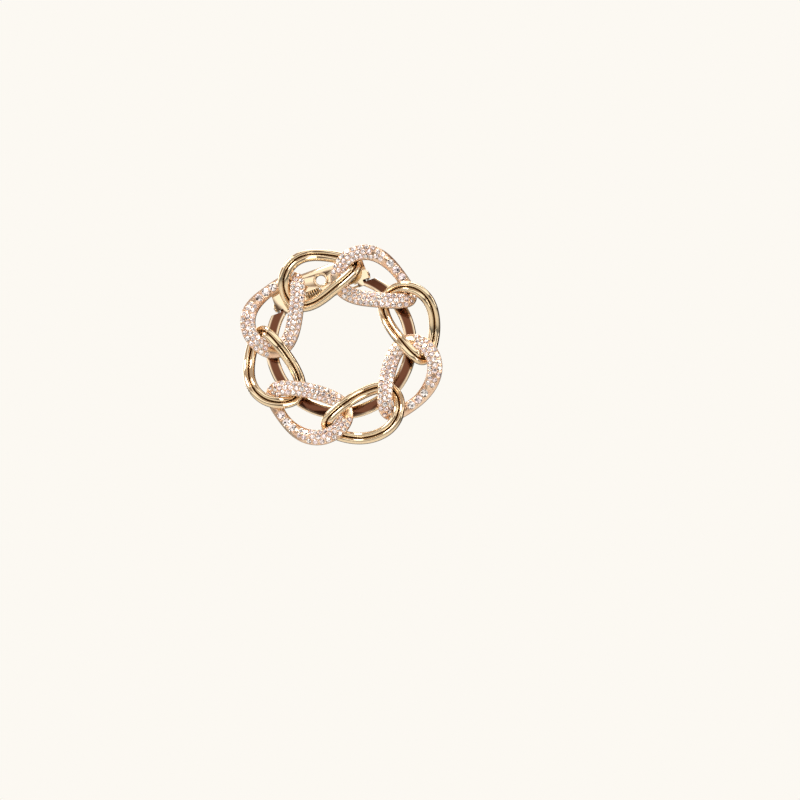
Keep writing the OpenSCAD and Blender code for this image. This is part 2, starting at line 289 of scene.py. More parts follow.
def plated(look, place, colour):
    """The plating's colour, a little darker and lighter from place to place."""
    darker = rgb(*[0.94 * c for c in colour])
    lighter = rgb(*[min(1.0, 1.05 * c) for c in colour])
    return look.mix(look.noise(place, 260.0, 3.0), darker, lighter)


def gold_finish(name, colour, painted_dark, has_map, roughness, line_height, wobble):
    """Plated gold with painted shade, a dark brown, where it is recessed, and hand-polished waves and
    fine lines.
    """
    material, look = new_look(name)
    place = look.on_object()
    hollow = look.painted("hollow")
    # Painted shade: recessed points are mixed towards the dark colour given
    shaded = look.mix(look.between(hollow, 0.05, 0.95), plated(look, place, colour), rgb(*painted_dark))
    lines_on = look.on_surface() if has_map else place
    line_scale = (0.35, 16.0, 1.0) if has_map else (350.0, 9000.0, 9000.0)
    lines = look.noise(look.stretched(lines_on, line_scale), 1.0, 3.0)
    waves = look.noise(place, WAVE_SCALE, 1.0)
    smear = look.noise(place, SMEAR_SCALE, 4.0)
    lined = look.bump(lines, line_height)
    surface(
        look,
        Base_Color=shaded,
        Metallic=1.0,
        Roughness=roughness * (0.7 + smear * 0.6) + hollow * 0.16,
        Normal=look.bump(waves, wobble, lined),
    )
    return material


def ring_finish(name, colour, painted_dark):
    """Plated gold whose front face, towards the wreath, has a painted dark reflection: red-brown
    between pale edges.

    The painted reflection covers the face where a point's distance from the middle of the band is
    small and it is near the front.
    """
    material, look = new_look(name)
    place = look.on_object()
    centre = turned((0, 0, RING_RISE), IN_CLIP) * MM
    level = look.vector("MULTIPLY", place, (1.0, 0.0, 1.0), "Vector")
    from_middle = look.vector("DISTANCE", level, centre, "Value") - (WREATH_R + RING_OUTSET) * MM
    off = from_middle.math("ABSOLUTE", from_middle)
    inside = 1.0 - look.between(off, *(edge * MM for edge in RING_REFLECTION_EDGE))
    depth = look.node("ShaderNodeSeparateXYZ", {}, {0: place}, "Y")
    facing = 1.0 - look.between(depth, *((FABRIC_GAP + d) * MM for d in RING_REFLECTION_DEPTH))
    smear = look.noise(place, SMEAR_SCALE, 4.0)
    waves = look.noise(place, WAVE_SCALE, 1.0)
    surface(
        look,
        # Painted reflection: the dark red-brown is mixed in over the front face's band
        Base_Color=look.mix(inside * facing, plated(look, place, colour), rgb(*painted_dark)),
        Metallic=1.0,
        Roughness=0.08 + smear * 0.07,
        Normal=look.bump(waves, 0.015),
    )
    return material


def pave_finish(name):
    """Cut gold between the stones: painted shade, a dark rosy brown, in the seats, with the small
    facets the graver leaves.
    """
    material, look = new_look(name)
    place = look.on_object()
    hollow = look.painted("hollow")
    patches = look.noise(place, 700.0, 3.0)
    body = look.mix(look.between(patches, 0.35, 0.65), rgb(0.95, 0.66, 0.47), rgb(0.98, 0.80, 0.62))
    # Painted shade in the seats, and more lightly over the dome away from the rims
    shaded = look.mix(look.between(hollow, 0.1, 0.9), body, rgb(0.44, 0.20, 0.14))
    cuts = look.node("ShaderNodeTexVoronoi", {}, {"Vector": place, "Scale": 3200.0})
    roughness = 0.2 + hollow * 0.2
    surface(look, Base_Color=shaded, Metallic=1.0, Roughness=roughness, Normal=look.bump(cuts, 0.004))
    return material


def stone_finish(name):
    """Clear faceted stones with foiled backs: each facet's colour is a painted reflection, and they
    glow a little.
    """
    material, look = new_look(name)
    facets = look.painted("facets", "Color")
    dust = look.noise(look.on_object(), 5000.0, 2.0)
    surface(
        look,
        Base_Color=facets,
        Metallic=0.55,
        Roughness=0.03 + dust * 0.06,
        IOR=2.0,
        Coat_Weight=1.0,
        Coat_Roughness=0.02,
        Coat_IOR=1.8,
        # Painted light: the stones glow with their facet colours, though they are no lamp
        Emission_Color=facets,
        Emission_Strength=0.36,
    )
    return material


def spring_finish(name):
    """Drawn wire: fine lines along it under a thin gold wash, with painted shade between the turns."""
    material, look = new_look(name)
    run = look.on_surface()
    lines = look.noise(look.stretched(run, (0.5, 24.0, 1.0)), 1.0, 3.0)
    patches = look.noise(look.on_object(), 500.0, 3.0)
    body = look.mix(patches, rgb(0.74, 0.58, 0.38), rgb(0.86, 0.74, 0.55))
    surface(
        look,
        Base_Color=look.mix(look.painted("hollow"), body, rgb(0.05, 0.025, 0.012)),
        Metallic=1.0,
        Roughness=0.14 + lines * 0.14,
        Normal=look.bump(lines, 0.004),
    )
    return material


def solder_finish(name):
    """Solder under the plating: softly mottled, with shallow dimples."""
    material, look = new_look(name)
    place = look.on_object()
    mottle = look.noise(place, 1100.0, 4.0)
    dimples = look.noise(place, 2600.0, 2.0)
    body = look.mix(mottle, rgb(0.78, 0.55, 0.32), rgb(0.93, 0.73, 0.48))
    roughness = 0.24 + mottle * 0.16
    surface(look, Base_Color=body, Metallic=1.0, Roughness=roughness, Normal=look.bump(dimples, 0.03))
    return material


def floor_finish(name):
    """A pale floor that fades with distance until it can't be told from the room.

    Reflections see its far part dim, as they see the lower part of the room.
    """
    material, look = new_look(name)
    place = look.on_object()
    grain = look.noise(place, 30.0, 4.0)
    near = look.mix(grain, rgb(0.60, 0.58, 0.54), rgb(0.63, 0.61, 0.57))
    far = look.between(look.vector("DISTANCE", place, (0.0, 0.0, 0.0), "Value"), 0.25, 0.8)
    seen = look.node("ShaderNodeLightPath", output="Is Camera Ray")
    surface(
        look,
        Base_Color=look.mix(far, near, rgb(0.0, 0.0, 0.0)),
        Roughness=1.0,
        Specular_IOR_Level=0.0,
        Emission_Color=look.mix(far * seen, rgb(0.195, 0.189, 0.178), PALE),
        Emission_Strength=1.0,
    )
    return material


POLISHED = gold_finish(
    "polished_gold", (0.95, 0.79, 0.55), (0.15, 0.065, 0.03), True, 0.075, 0.0008, 0.02
)
CLIP_GOLD = gold_finish(
    "clip_gold", (0.95, 0.79, 0.57), (0.32, 0.14, 0.05), False, 0.10, 0.0005, 0.015
)
BEAD_GOLD = gold_finish(
    "bead_gold", (0.96, 0.70, 0.52), (0.45, 0.20, 0.13), False, 0.12, 0.0002, 0.004
)
PAVE_GOLD = pave_finish("pave_gold")
STONES = stone_finish("faceted_stones_painted_glints")
SPRING = spring_finish("spring_wire")
SOLDER = solder_finish("solder")


# ---- Meshes ----
def unit(vectors):
    """Vectors divided by their lengths."""
    return vectors / np.linalg.norm(vectors, axis=-1, keepdims=True)


def turned(points, degrees):
    """Turns points about Y, so that X goes to (cos, 0, sin) and Z to (-sin, 0, cos)."""
    c, s = math.cos(math.radians(degrees)), math.sin(math.radians(degrees))
    x, y, z = np.moveaxis(np.asarray(points, float), -1, 0)
    return np.stack([x * c - z * s, y, x * s + z * c], -1)


class Shape:
    """Points and faces gathered from grids, with a map in millimetres along and around them."""

    def __init__(self):
        self.points = np.zeros((0, 3))
        self.faces = []
        self.map = []

    def add(self, points, faces, places=None):
        """Adds points and an array of faces that count from the first of them."""
        self.faces.append(faces + len(self.points))
        self.points = np.concatenate([self.points, points.reshape(-1, 3)])
        self.map.append(np.zeros((faces.size, 2)) if places is None else places.reshape(-1, 2))

    def grid(self, grid, wraps=(True, True), capped=False):
        """Quads over a grid of points, joined round in each direction that wraps.

        The map's u and v at a line of the grid are the distances to it along the grid's first
        column and around its first row.  A capped grid gets a fan to the middle of each end row.
        """
        rows, columns = grid.shape[:2]
        i, j = np.meshgrid(
            np.arange(rows if wraps[0] else rows - 1),
            np.arange(columns if wraps[1] else columns - 1),
            indexing="ij",
        )
        n, k = (i + 1) % rows, (j + 1) % columns
        quads = np.stack([i * columns + j, n * columns + j, n * columns + k, i * columns + k], -1)
        u = np.cumsum(np.linalg.norm(np.diff(grid[:, 0], axis=0, prepend=grid[-1:, 0]), axis=1))
        v = np.cumsum(np.linalg.norm(np.diff(grid[0], axis=0, prepend=grid[0, -1:]), axis=1))
        u, v = np.append(u - u[0], u[-1]), np.append(v - v[0], v[-1])
        corners = ((i, j), (i + 1, j), (i + 1, j + 1), (i, j + 1))
        places = np.stack([np.stack([u[a], v[b]], -1) for a, b in corners], -2)
        first = len(self.points)
        self.add(grid, quads.reshape(-1, 4), places)
        if capped:
            ring = np.arange(columns)
            after = np.roll(ring, -1)
            ends = np.stack([grid[0].mean(0), grid[-1].mean(0)])
            middle = len(self.points) - first
            fans = np.concatenate(
                [
                    np.stack([ring, after, np.full(columns, middle)], -1),
                    np.stack([after, ring, np.full(columns, middle + 1)], -1),
                ]
            )
            fans[columns:, :2] += (rows - 1) * columns
            self.faces.append(fans + first)
            self.points = np.concatenate([self.points, ends])
            self.map.append(np.zeros((fans.size, 2)))
        return self

    def is_inside_out(self):
        """True if the sum of a . (b x c) over the triangles, six times the volume, is below 0."""
        volume = 0.0
        for faces in self.faces:
            corners = self.points[faces]
            for k in range(1, faces.shape[1] - 1):
                normal = np.cross(corners[:, k], corners[:, k + 1])
                volume += np.einsum("ij,ij->", corners[:, 0], normal)
        return volume < 0


def add_piece(name, shape, finish, body, replaced, smooth=True, hollow=None, facets=None):
    """Puts a shape into a mesh in metres, with its map and its painted values, and finishes it.

    The painted shade is a number for each point, and facets a colour for each face, painted reflections
    on the stones.
    """
    flip = shape.is_inside_out()
    faces = [f for group in shape.faces for f in (group[:, ::-1] if flip else group).tolist()]
    mesh = bpy.data.meshes.new(name)
    mesh.from_pydata((shape.points * MM).tolist(), [], faces)
    places = [p.reshape(g.shape[0], g.shape[1], 2) for p, g in zip(shape.map, shape.faces)]
    places = np.concatenate([(p[:, ::-1] if flip else p).reshape(-1, 2) for p in places])
    mesh.uv_layers.new(name="run").data.foreach_set("uv", places.astype(np.float32).ravel())
    hollow = np.zeros(len(shape.points)) if hollow is None else hollow
    painted = mesh.attributes.new("hollow", "FLOAT", "POINT")
    painted.data.foreach_set("value", hollow.astype(np.float32))
    if facets is not None:
        colours = np.concatenate([facets, np.ones((len(facets), 1))], 1)
        corners = np.repeat(colours, [len(f) for f in faces], axis=0).astype(np.float32)
        painted = mesh.attributes.new("facets", "FLOAT_COLOR", "CORNER")
        painted.data.foreach_set("color", corners.ravel())
    mesh.polygons.foreach_set("use_smooth", [smooth] * len(faces))
    mesh.update()
    return finish_piece(bpy.data.objects.new(name, mesh), finish, body, replaced)


def finish_piece(piece, finish, body, replaced):
    """Gives a piece its finish, the body it moves with, if any, and the CAD nodes it stands for."""
    bpy.context.scene.collection.objects.link(piece)
    piece.data.materials.clear()
    piece.data.materials.append(finish)
    if body:
        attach(piece, body)
    if replaced:
        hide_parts(*replaced)
    return piece


MERGE_WITHIN = 0.0005
FLAT_WITHIN = 1
SHARP_FROM = 28


def softened_copy(name, node, width, finish, body):
    """The CAD node's own shape with its flat faces joined up and its sharp edges rounded over."""
    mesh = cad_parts[node].data.copy()
    mesh.name = name
    work = bmesh.new()
    work.from_mesh(mesh)
    bmesh.ops.remove_doubles(work, verts=work.verts, dist=MERGE_WITHIN * MM)
    flat = math.radians(FLAT_WITHIN)
    bmesh.ops.dissolve_limit(work, angle_limit=flat, verts=work.verts, edges=work.edges)
    work.to_mesh(mesh)
    work.free()
    mesh.polygons.foreach_set("use_smooth", [True] * len(mesh.polygons))
    piece = finish_piece(bpy.data.objects.new(name, mesh), finish, body, [node])
    bevel = piece.modifiers.new("rounded_edges", "BEVEL")
    bevel.width = width * MM
    bevel.segments = 3
    bevel.limit_method = "ANGLE"
    bevel.angle_limit = math.radians(SHARP_FROM)
    bevel.harden_normals = True
    return piece


def smooth_loop(corners, steps):
    """A Catmull-Rom curve round a closed loop.

    Between corners b and c, with a before and d after, a point is half of
    2 b + (c - a) t + (2 a - 5 b + 4 c - d) t^2 + (3 b - a - 3 c + d) t^3.
    """
    p = np.asarray(corners, float)
    a, b, c, d = (np.roll(p, shift, axis=0)[:, None] for shift in (1, 0, -1, -2))
    t = np.linspace(0, 1, steps, endpoint=False)[None, :, None]
    curve = 2 * b + (c - a) * t + (2 * a - 5 * b + 4 * c - d) * t**2 + (3 * b - a - 3 * c + d) * t**3
    return (curve / 2).reshape(-1, p.shape[1])


def smooth_run(points, steps):
    """The same curve through an open row of points, starting and ending on them."""
    p = np.asarray(points, float)
    padded = np.concatenate([[2 * p[0] - p[1]], p, [2 * p[-1] - p[-2]]])
    curve = smooth_loop(padded, steps)
    return np.concatenate([curve[steps : steps * len(p)], p[-1:]])


def mirrored(half):
    """The other half of an outline: x changes sign and the order is reversed."""
    return [(-x, y) for x, y in reversed(half)]


def sweep(path, side, front, section):
    """A grid of points: each path point plus the section's two measures along side and front."""
    return path[:, None] + section[..., 0:1] * side[:, None] + section[..., 1:2] * front[:, None]


def tube(stations, line, sides=32):
    """A round bar along a line, which is an origin and three axes, the first one along it.

    The stations are (distance, radius).  A point is the line's point at the distance, plus the
    radius times cos a and sin a along the other two axes.
    """
    origin, along, across, up = line
    a = np.linspace(0, 2 * math.pi, sides, endpoint=False)
    distance, radius = np.asarray(stations, float).T
    spokes = np.cos(a)[:, None] * across + np.sin(a)[:, None] * up
    return origin + distance[:, None, None] * along + radius[:, None, None] * spokes[None]


def revolved(profile, line, sides=64):
    """A ring turned about such a line: the profile's points are (radius, distance along it)."""
    origin, along, across, up = line
    a = np.linspace(0, 2 * math.pi, sides, endpoint=False)
    radius, distance = np.asarray(profile, float).T
    spokes = np.cos(a)[:, None, None] * across + np.sin(a)[:, None, None] * up
    return origin + distance[None, :, None] * along + radius[None, :, None] * spokes


# ---- Links ----
LINK_HALF_L = WREATH_R * math.sin(math.radians(LINK_STEP / 2)) + LINK_REACH


def plan_point(degrees):
    """A link's centre line in a front view, with X clockwise and Z outwards.

    x = l cos q and z = r + w sin q + e cos q - b cos 2q - n sin 2q.
    """
    q = np.radians(degrees)
    z = WREATH_R + LINK_HALF_W * np.sin(q) + END_SHIFT * np.cos(q)
    z = z - BELLY * np.cos(2 * q) - LINK_LEAN * np.sin(2 * q)
    return np.stack([LINK_HALF_L * np.cos(q), np.zeros_like(q), z], -1)


def wave(degrees):
    """How a link's two rails rise and dip in turn: sin 2q + s sin 6q."""
    q = np.radians(degrees)
    return np.sin(2 * q) + STEEPNESS * np.sin(6 * q)


def crossing(first, second):
    """The angles at which a link's clockwise half passes its neighbour: the two nearest in plan."""
    steps = np.arange(0, 91, WALK_STEP)
    apart = plan_point(first + steps)[:, None] - turned(plan_point(second + steps), -LINK_STEP)[None]
    a, b = np.unravel_index(np.linalg.norm(apart, axis=-1).argmin(), apart.shape[:2])
    return first + steps[a], second + steps[b]


def rise_at(angles):
    """The difference in wave at a crossing, less what the rails' slope takes across their width."""
    q = np.array(angles)
    run = np.linalg.norm(plan_point(q + 1) - plan_point(q - 1), axis=-1)
    slope = np.abs(wave(q + 1) - wave(q - 1)) / run
    return abs(wave(q[0]) - wave(q[1])) - BANK * PAVE_W / 2 * slope.sum()


CROSSINGS = (crossing(0, 90), crossing(270, 180))
LIFT = (RAIL_D + CROSS_GAP) / min(rise_at(c) for c in CROSSINGS)
MID_Y = -LIFT * wave(np.arange(0, 91)).max() - RAIL_D / 2


def link_point(degrees):
    """The centre line in space: its plan, with y = m + lift times the wave."""
    height = MID_Y + LIFT * wave(np.asarray(degrees, float))
    return plan_point(degrees) - height[..., None] * FRONT


def link_along(degrees):
    """The centre line's direction, from a degree behind to a degree ahead."""
    return unit(link_point(degrees + 1) - link_point(degrees - 1))


def link_side(degrees):
    """The level direction across a link: the path's direction crossed with the front's."""
    return unit(np.cross(link_along(degrees), FRONT))


def link_turn(k):
    """How far link k, counted clockwise from the first polished one, is turned."""
    return FIRST_LINK_TURN - k * LINK_STEP


def ridge_section():
    """A polished rail's outline: upright walls, two rounded ridges and the groove between them."""
    w, d = RIDGE_W, RAIL_D
    half = [
        (0.24 * w, -0.50 * d),
        (0.40 * w, -0.465 * d),
        (0.485 * w, -0.35 * d),
        (0.50 * w, -0.10 * d),
        (0.495 * w, 0.18 * d),
        (0.46 * w, 0.36 * d),
        (0.38 * w, 0.465 * d),
        (0.27 * w, 0.50 * d),
        (0.16 * w, 0.485 * d),
        (0.085 * w, 0.42 * d),
        (0.04 * w, d / 2 - 0.75 * GROOVE_D),
    ]
    return smooth_loop(half + [(0, d / 2 - GROOVE_D)] + mirrored(half) + [(0, -0.5 * d)], 5)


def dome_height(x):
    """A stone-set rail's height above its middle: d / 2 - h (2x / w)^2."""
    return RAIL_D / 2 - PAVE_DOME * (2 * x / PAVE_W) ** 2


def pave_section():
    """A stone-set rail's outline: upright walls with a small rim, and a low dome."""
    w, d = PAVE_W, RAIL_D
    half = [
        (0.28 * w, -0.50 * d),
        (0.42 * w, -0.46 * d),
        (0.485 * w, -0.34 * d),
        (0.50 * w, -0.10 * d),
        (0.50 * w, dome_height(0.5 * w) - 0.12),
        (0.485 * w, dome_height(0.485 * w)),
    ]
    half += [(x * w, dome_height(x * w)) for x in (0.43, 0.36, 0.29, 0.22, 0.15, 0.08)]
    return smooth_loop(half + [(0, RAIL_D / 2)] + mirrored(half) + [(0, -0.5 * d)], 3)


def pave_share(degrees):
    """A stone-set rail's width, as a share of its widest: 1 - n exp(-((q - q0) / run)^2)."""
    return 1 - PAVE_NARROW * np.exp(-(((degrees - NARROW_AT) / NARROW_RUN) ** 2))


def link_grid(section, share, steps):
    """An outline carried round a link, with its width multiplied by the share at each angle."""
    q = np.arange(steps) * 360 / steps
    scaled = np.repeat(section[None], steps, axis=0)
    scaled[..., 0] *= share(q)[:, None]
    front = np.repeat(FRONT[None], steps, axis=0)
    return sweep(link_point(q), link_side(q), front, scaled)


def polished_rails(i):
    """The ridged outline carried round a link; painted shade is (depth / groove depth)^1.5 in the
    groove.
    """
    section = ridge_section()
    grid = link_grid(section, np.ones_like, POLISHED_STEPS)
    depth = (RAIL_D / 2 - section[:, 1]) / GROOVE_D
    in_groove = (np.abs(section[:, 0]) < 0.15 * RIDGE_W) & (section[:, 1] > 0)
    hollow = np.tile(np.where(in_groove, np.clip(depth, 0, 1) ** 1.5, 0), len(grid))
    shape = Shape().grid(turned(grid, link_turn(2 * (i - 1))))
    node = f"polished_link_{i}"
    add_piece(
        f"polished_rails_{i}", shape, POLISHED, "wreath", [node], hollow=hollow
    )


# ---- Stones ----
WALK_Q = np.arange(0, 361, WALK_STEP)
WALK_S = np.append(0, np.cumsum(np.linalg.norm(np.diff(link_point(WALK_Q), axis=0), axis=1)))
PATH_L = WALK_S[-1]
CELLS = int(PATH_L // STONE_PITCH)
CELL_L = PATH_L / CELLS


def angle_at(run):
    """The path angle at a distance along a link."""
    return np.interp(run % PATH_L, WALK_S, WALK_Q)


def is_near(degrees, at, half):
    """Whether an angle is within half of another one, either way round."""
    return np.abs((degrees - at + 540) % 360 - 180) < half


def is_three(cell):
    """Whether the rail is wide enough for three rows of stones at a cell's middle."""
    return pave_share(angle_at((cell + 0.5) * CELL_L)) > TWO_ROW_SHARE


def dome_point(degrees, x):
    """A point on the dome at an offset from its centre line."""
    x = np.asarray(x, float)
    height = dome_height(x / pave_share(degrees))
    return link_point(degrees) + x[..., None] * link_side(degrees) + height[..., None] * FRONT


def dome_frames(degrees, x):
    """Origins, and directions along the rail, across it and out of its dome, as arrays."""
    along, side = link_along(degrees), link_side(degrees)
    slope = 8 * PAVE_DOME * x / (PAVE_W * pave_share(degrees)) ** 2
    out = unit(np.cross(side - slope[:, None] * FRONT, along))
    return dome_point(degrees, x), along, np.cross(out, along), out


def stood(local, origin, size, axes):
    """Copies of a shape: each point is the origin plus the size times its measures along the axes."""
    return origin[:, None] + size[:, None, None] * np.einsum("npk,nkx->npx", local, np.stack(axes, 1))


def small_places():
    """Where the small stones stand: distances along the path, offsets and diameters.

    Side rows stand half a cell on from the middle row.  Stones that are crowded inside a bend are
    smaller, so that a gap is left between them.
    """
    cell, row = (a.ravel() for a in np.meshgrid(np.arange(CELLS), (-1, 0, 1), indexing="ij"))
    three = is_three(cell)
    run = (cell + np.where(three & (row == 0), 0.25, 0.75)) * CELL_L
    q = angle_at(run)
    x = row * np.where(three, ROW_PITCH, (STONE_D + STONE_GAP) / 2)
    large_from = np.interp(LARGE_FROM, WALK_Q, WALK_S)
    large_to = large_from + (LARGE_COUNT - 1) * LARGE_PITCH
    clear = (LARGE_STONE_D + STONE_D) / 2 + LARGE_GAP
    is_large = (run > large_from - clear) & (run < large_to + clear)
    is_bare = is_near(q, UNDER_OUTER, BARE_HALF) | is_near(q, UNDER_INNER, BARE_HALF)
    is_row = (row != 0) | (three & is_three(cell - 1))
    keep = ~is_large & ~is_bare & is_row
    run, x = run[keep], x[keep]
    ahead, behind = (dome_point(angle_at(run + half), x) for half in (CELL_L / 2, -CELL_L / 2))
    room = np.linalg.norm(ahead - behind, axis=-1)
    return run, x, np.minimum(STONE_D, room - STONE_GAP)


def large_places():
    """The same for the large stones, which stand in one row on the narrow end."""
    run = np.interp(LARGE_FROM, WALK_Q, WALK_S) + np.arange(LARGE_COUNT) * LARGE_PITCH
    return run, np.zeros(LARGE_COUNT), np.full(LARGE_COUNT, LARGE_STONE_D)


def brilliant():
    """A round brilliant of radius 1 with its girdle at height 0.

    Eight triangles make the flat table, whose corners are 45 degrees apart.  Eight star facets
    and sixteen girdle facets make the crown, and sixteen facets meet at the culet below.
    """
    t = np.radians(np.arange(8) * 45)
    g = np.radians(np.arange(16) * 22.5)
    table = np.stack([TABLE_R * np.cos(t), TABLE_R * np.sin(t), np.full(8, CROWN_H)], -1)
    girdle = np.stack([np.cos(g), np.sin(g), np.zeros(16)], -1)
    points = np.concatenate([table, girdle, [[0, 0, CROWN_H], [0, 0, -CULET_D]]])
    k, m = np.arange(8), np.arange(16)
    after, centre, culet = (k + 1) % 8, np.full(8, 24), np.full(16, 25)
    faces = [
        np.stack([k, after, centre], -1),
        np.stack([k, 8 + (2 * k + 1) % 16, after], -1),
        np.stack([k, 8 + 2 * k, 8 + (2 * k + 1) % 16], -1),
        np.stack([k, 8 + (2 * k - 1) % 16, 8 + 2 * k], -1),
        np.stack([8 + (m + 1) % 16, 8 + m, culet], -1),
    ]
    return points, np.concatenate(faces)


def set_stones(name, i, places, nodes, seed):
    """Brilliants stood on the dome, each turned by chance about its axis and tilted a little."""
    chance = np.random.default_rng(seed)
    run, x, diameter = places
    count = len(run)
    origin, along, across, out = dome_frames(angle_at(run), x)
    tilt = chance.normal(0, STONE_TILT, (count, 2))
    out = unit(out + tilt[:, :1] * along + tilt[:, 1:] * across)
    across = unit(np.cross(out, along))
    along = np.cross(across, out)
    spin = chance.uniform(0, math.pi / 4, count)
    points, faces = brilliant()
    c, s = np.cos(spin)[:, None], np.sin(spin)[:, None]
    a, b = points[:, 0] * c - points[:, 1] * s, points[:, 0] * s + points[:, 1] * c
    local = np.stack([a, b, np.repeat(points[None, :, 2], count, 0)], -1)
    radius = diameter / 2 * chance.uniform(SMALLEST_SHARE, 1.0, count)
    placed = stood(local, origin, radius, (along, across, out))
    shape = Shape()
    numbered = faces[None] + (np.arange(count) * len(points))[:, None, None]
    shape.add(turned(placed, link_turn(2 * i - 1)), numbered.reshape(-1, 3))
    # Painted reflections: most facets are bright, some grey and a few dark, as a foiled stone shows
    # from any side
    draw = chance.random((count, len(faces)))
    bright = np.where(draw < 0.18, 0.05, np.where(draw < 0.44, 0.38, 0.95))
    tint = 1 - 0.18 * chance.random((count, 1, 1)) * np.array([0.1, 0.9, 0.7])
    facets = (bright[..., None] * tint).reshape(-1, 3)
    add_piece(name, shape, STONES, "wreath", nodes, smooth=False, facets=facets)


def bead_places():
    """Beads stand in the gaps between the stones and along the rail's edges, in five kinds of row.

    Gives their distances along the path, offsets and radii.
    """
    cell = np.arange(CELLS)
    three = is_three(cell)
    spots = []
    for run, x, radius, wanted in (
        (0.75, 0.34 * ROW_PITCH, 0.13, three),
        (0.25, 0.70 * ROW_PITCH, 0.14, three),
        (0.25, 1.36 * ROW_PITCH, 0.15, three),
        (0.25, 0.0, 0.18, ~three),
        (0.25, 0.96 * STONE_D, 0.15, ~three),
    ):
        at = (cell + run) * CELL_L
        q = angle_at(at)
        at = at[wanted & ~is_near(q, UNDER_OUTER, BARE_HALF) & ~is_near(q, UNDER_INNER, BARE_HALF)]
        for side in (-x, x) if x else (x,):
            spots.append(np.stack([at, np.full(len(at), side), np.full(len(at), radius)], -1))
    spots = np.concatenate(spots)
    large_run = large_places()[0]
    reach = np.abs(spots[:, :1] - large_run[None]).min(1)
    spots = spots[reach > LARGE_STONE_D / 2 + 0.1]
    corner = np.append(large_run - LARGE_PITCH / 2, large_run[-1] + LARGE_PITCH / 2)
    count = 2 * len(corner)
    sides = np.repeat([-LARGE_BEAD_X, LARGE_BEAD_X], len(corner))
    large = np.stack([np.tile(corner, 2), sides, np.full(count, LARGE_BEAD_R)], -1)
    return np.concatenate([spots, large]).T


def bead_ball():
    """Four rings of a ball of radius 1: (cos b cos a, cos b sin a, sin b), b from -60 to 60."""
    b = np.radians(np.linspace(-60, 60, 4))[:, None]
    a = np.radians(np.arange(BEAD_SIDES) * 360 / BEAD_SIDES)[None]
    return np.stack([np.cos(b) * np.cos(a), np.cos(b) * np.sin(a), np.sin(b) + 0 * a], -1)


def setting_beads(i):
    """Balls that stand about two thirds out of the dome, each closed above and below."""
    run, x, radius = bead_places()
    origin, along, across, out = dome_frames(angle_at(run), x)
    rings = bead_ball()
    local = np.repeat((rings.reshape(1, -1, 3) + [0, 0, BEAD_RISE]), len(run), 0)
    balls = stood(local, origin, radius, (along, across, out)).reshape(-1, *rings.shape)
    shape = Shape()
    for ball in turned(balls, link_turn(2 * i - 1)):
        shape.grid(ball, wraps=(False, True), capped=True)
    add_piece(f"setting_beads_{i}", shape, BEAD_GOLD, "wreath", [])


def pave_rails(i):
    """A domed rail with a seat sunk for each stone and a rim raised round it, with painted shade.

    With r from a stone's centre in stone radii, a point drops by s exp(-(r / r0)^8) along the
    surface's normal and rises by h exp(-((r - r1) / run)^2).
    """
    grid = link_grid(pave_section(), pave_share, PAVE_STEPS)
    along = np.roll(grid, -1, 0) - np.roll(grid, 1, 0)
    around = np.roll(grid, -1, 1) - np.roll(grid, 1, 1)
    normal = unit(np.cross(along, around))
    inward = np.sign(np.einsum("ijk,ijk->", normal, grid - grid.mean(1, keepdims=True)))
    normal = normal * inward
    points = grid.reshape(-1, 3)
    drop, rim = np.zeros(len(points)), np.zeros(len(points))
    for run, x, diameter in (small_places(), large_places()):
        centres = dome_point(angle_at(run), x)
        for centre, d in zip(centres, diameter):
            r = np.linalg.norm(points - centre, axis=1) / (d / 2)
            drop = np.maximum(drop, np.exp(-((r / SEAT_R) ** 8)))
            rim = np.maximum(rim, np.exp(-(((r - RIM_R) / RIM_RUN) ** 2)))
    height = RIM_H * rim - SEAT_D * drop
    raised = grid + height.reshape(grid.shape[:2])[..., None] * normal
    # Painted shade: full in each seat and a quarter over the dome away from the rims, which so stay
    # bright
    hollow = np.clip(drop + 0.25 * (rim < 0.2), 0, 1)
    shape = Shape().grid(turned(raised, link_turn(2 * i - 1)))
    node = f"pave_link_{i}"
    add_piece(f"pave_rails_{i}", shape, PAVE_GOLD, "wreath", [node], hollow=hollow)


for number in range(1, 5):
    polished_rails(number)
    pave_rails(number)
    small_nodes = [f"{kind}_stones_{number}" for kind in ("outer", "inner", "end")]
    large_nodes = [f"large_stones_{number}"]
    set_stones(f"small_brilliants_{number}", number, small_places(), small_nodes, 10 + number)
    set_stones(f"large_brilliants_{number}", number, large_places(), large_nodes, 20 + number)
    setting_beads(number)


# ---- Solder ----
BACKWARDS = (-FRONT, X_AXIS, Z_AXIS)


def crossing_solder():
    """A short waisted bar at each crossing: radius r (1 + 0.25 (2t - 1)^4) from t = 0 to 1."""
    t = np.linspace(0, 1, 13)
    shape = Shape()
    for q, next_q in CROSSINGS:
        pair = np.stack([link_point(q), turned(link_point(next_q), -LINK_STEP)])
        low, high = pair[:, 1].min(), pair[:, 1].max()
        middle = pair.mean(0) * [1, 0, 1]
        stations = np.stack([low + (high - low) * t, SOLDER_R * (1 + 0.25 * (2 * t - 1) ** 4)], -1)
        bar = tube(stations, (middle, *BACKWARDS), 24)
        for k in range(360 // LINK_STEP):
            shape.grid(turned(bar, link_turn(k)), wraps=(False, True), capped=True)
    add_piece("crossing_solder", shape, SOLDER, "wreath", ["link_solder"])


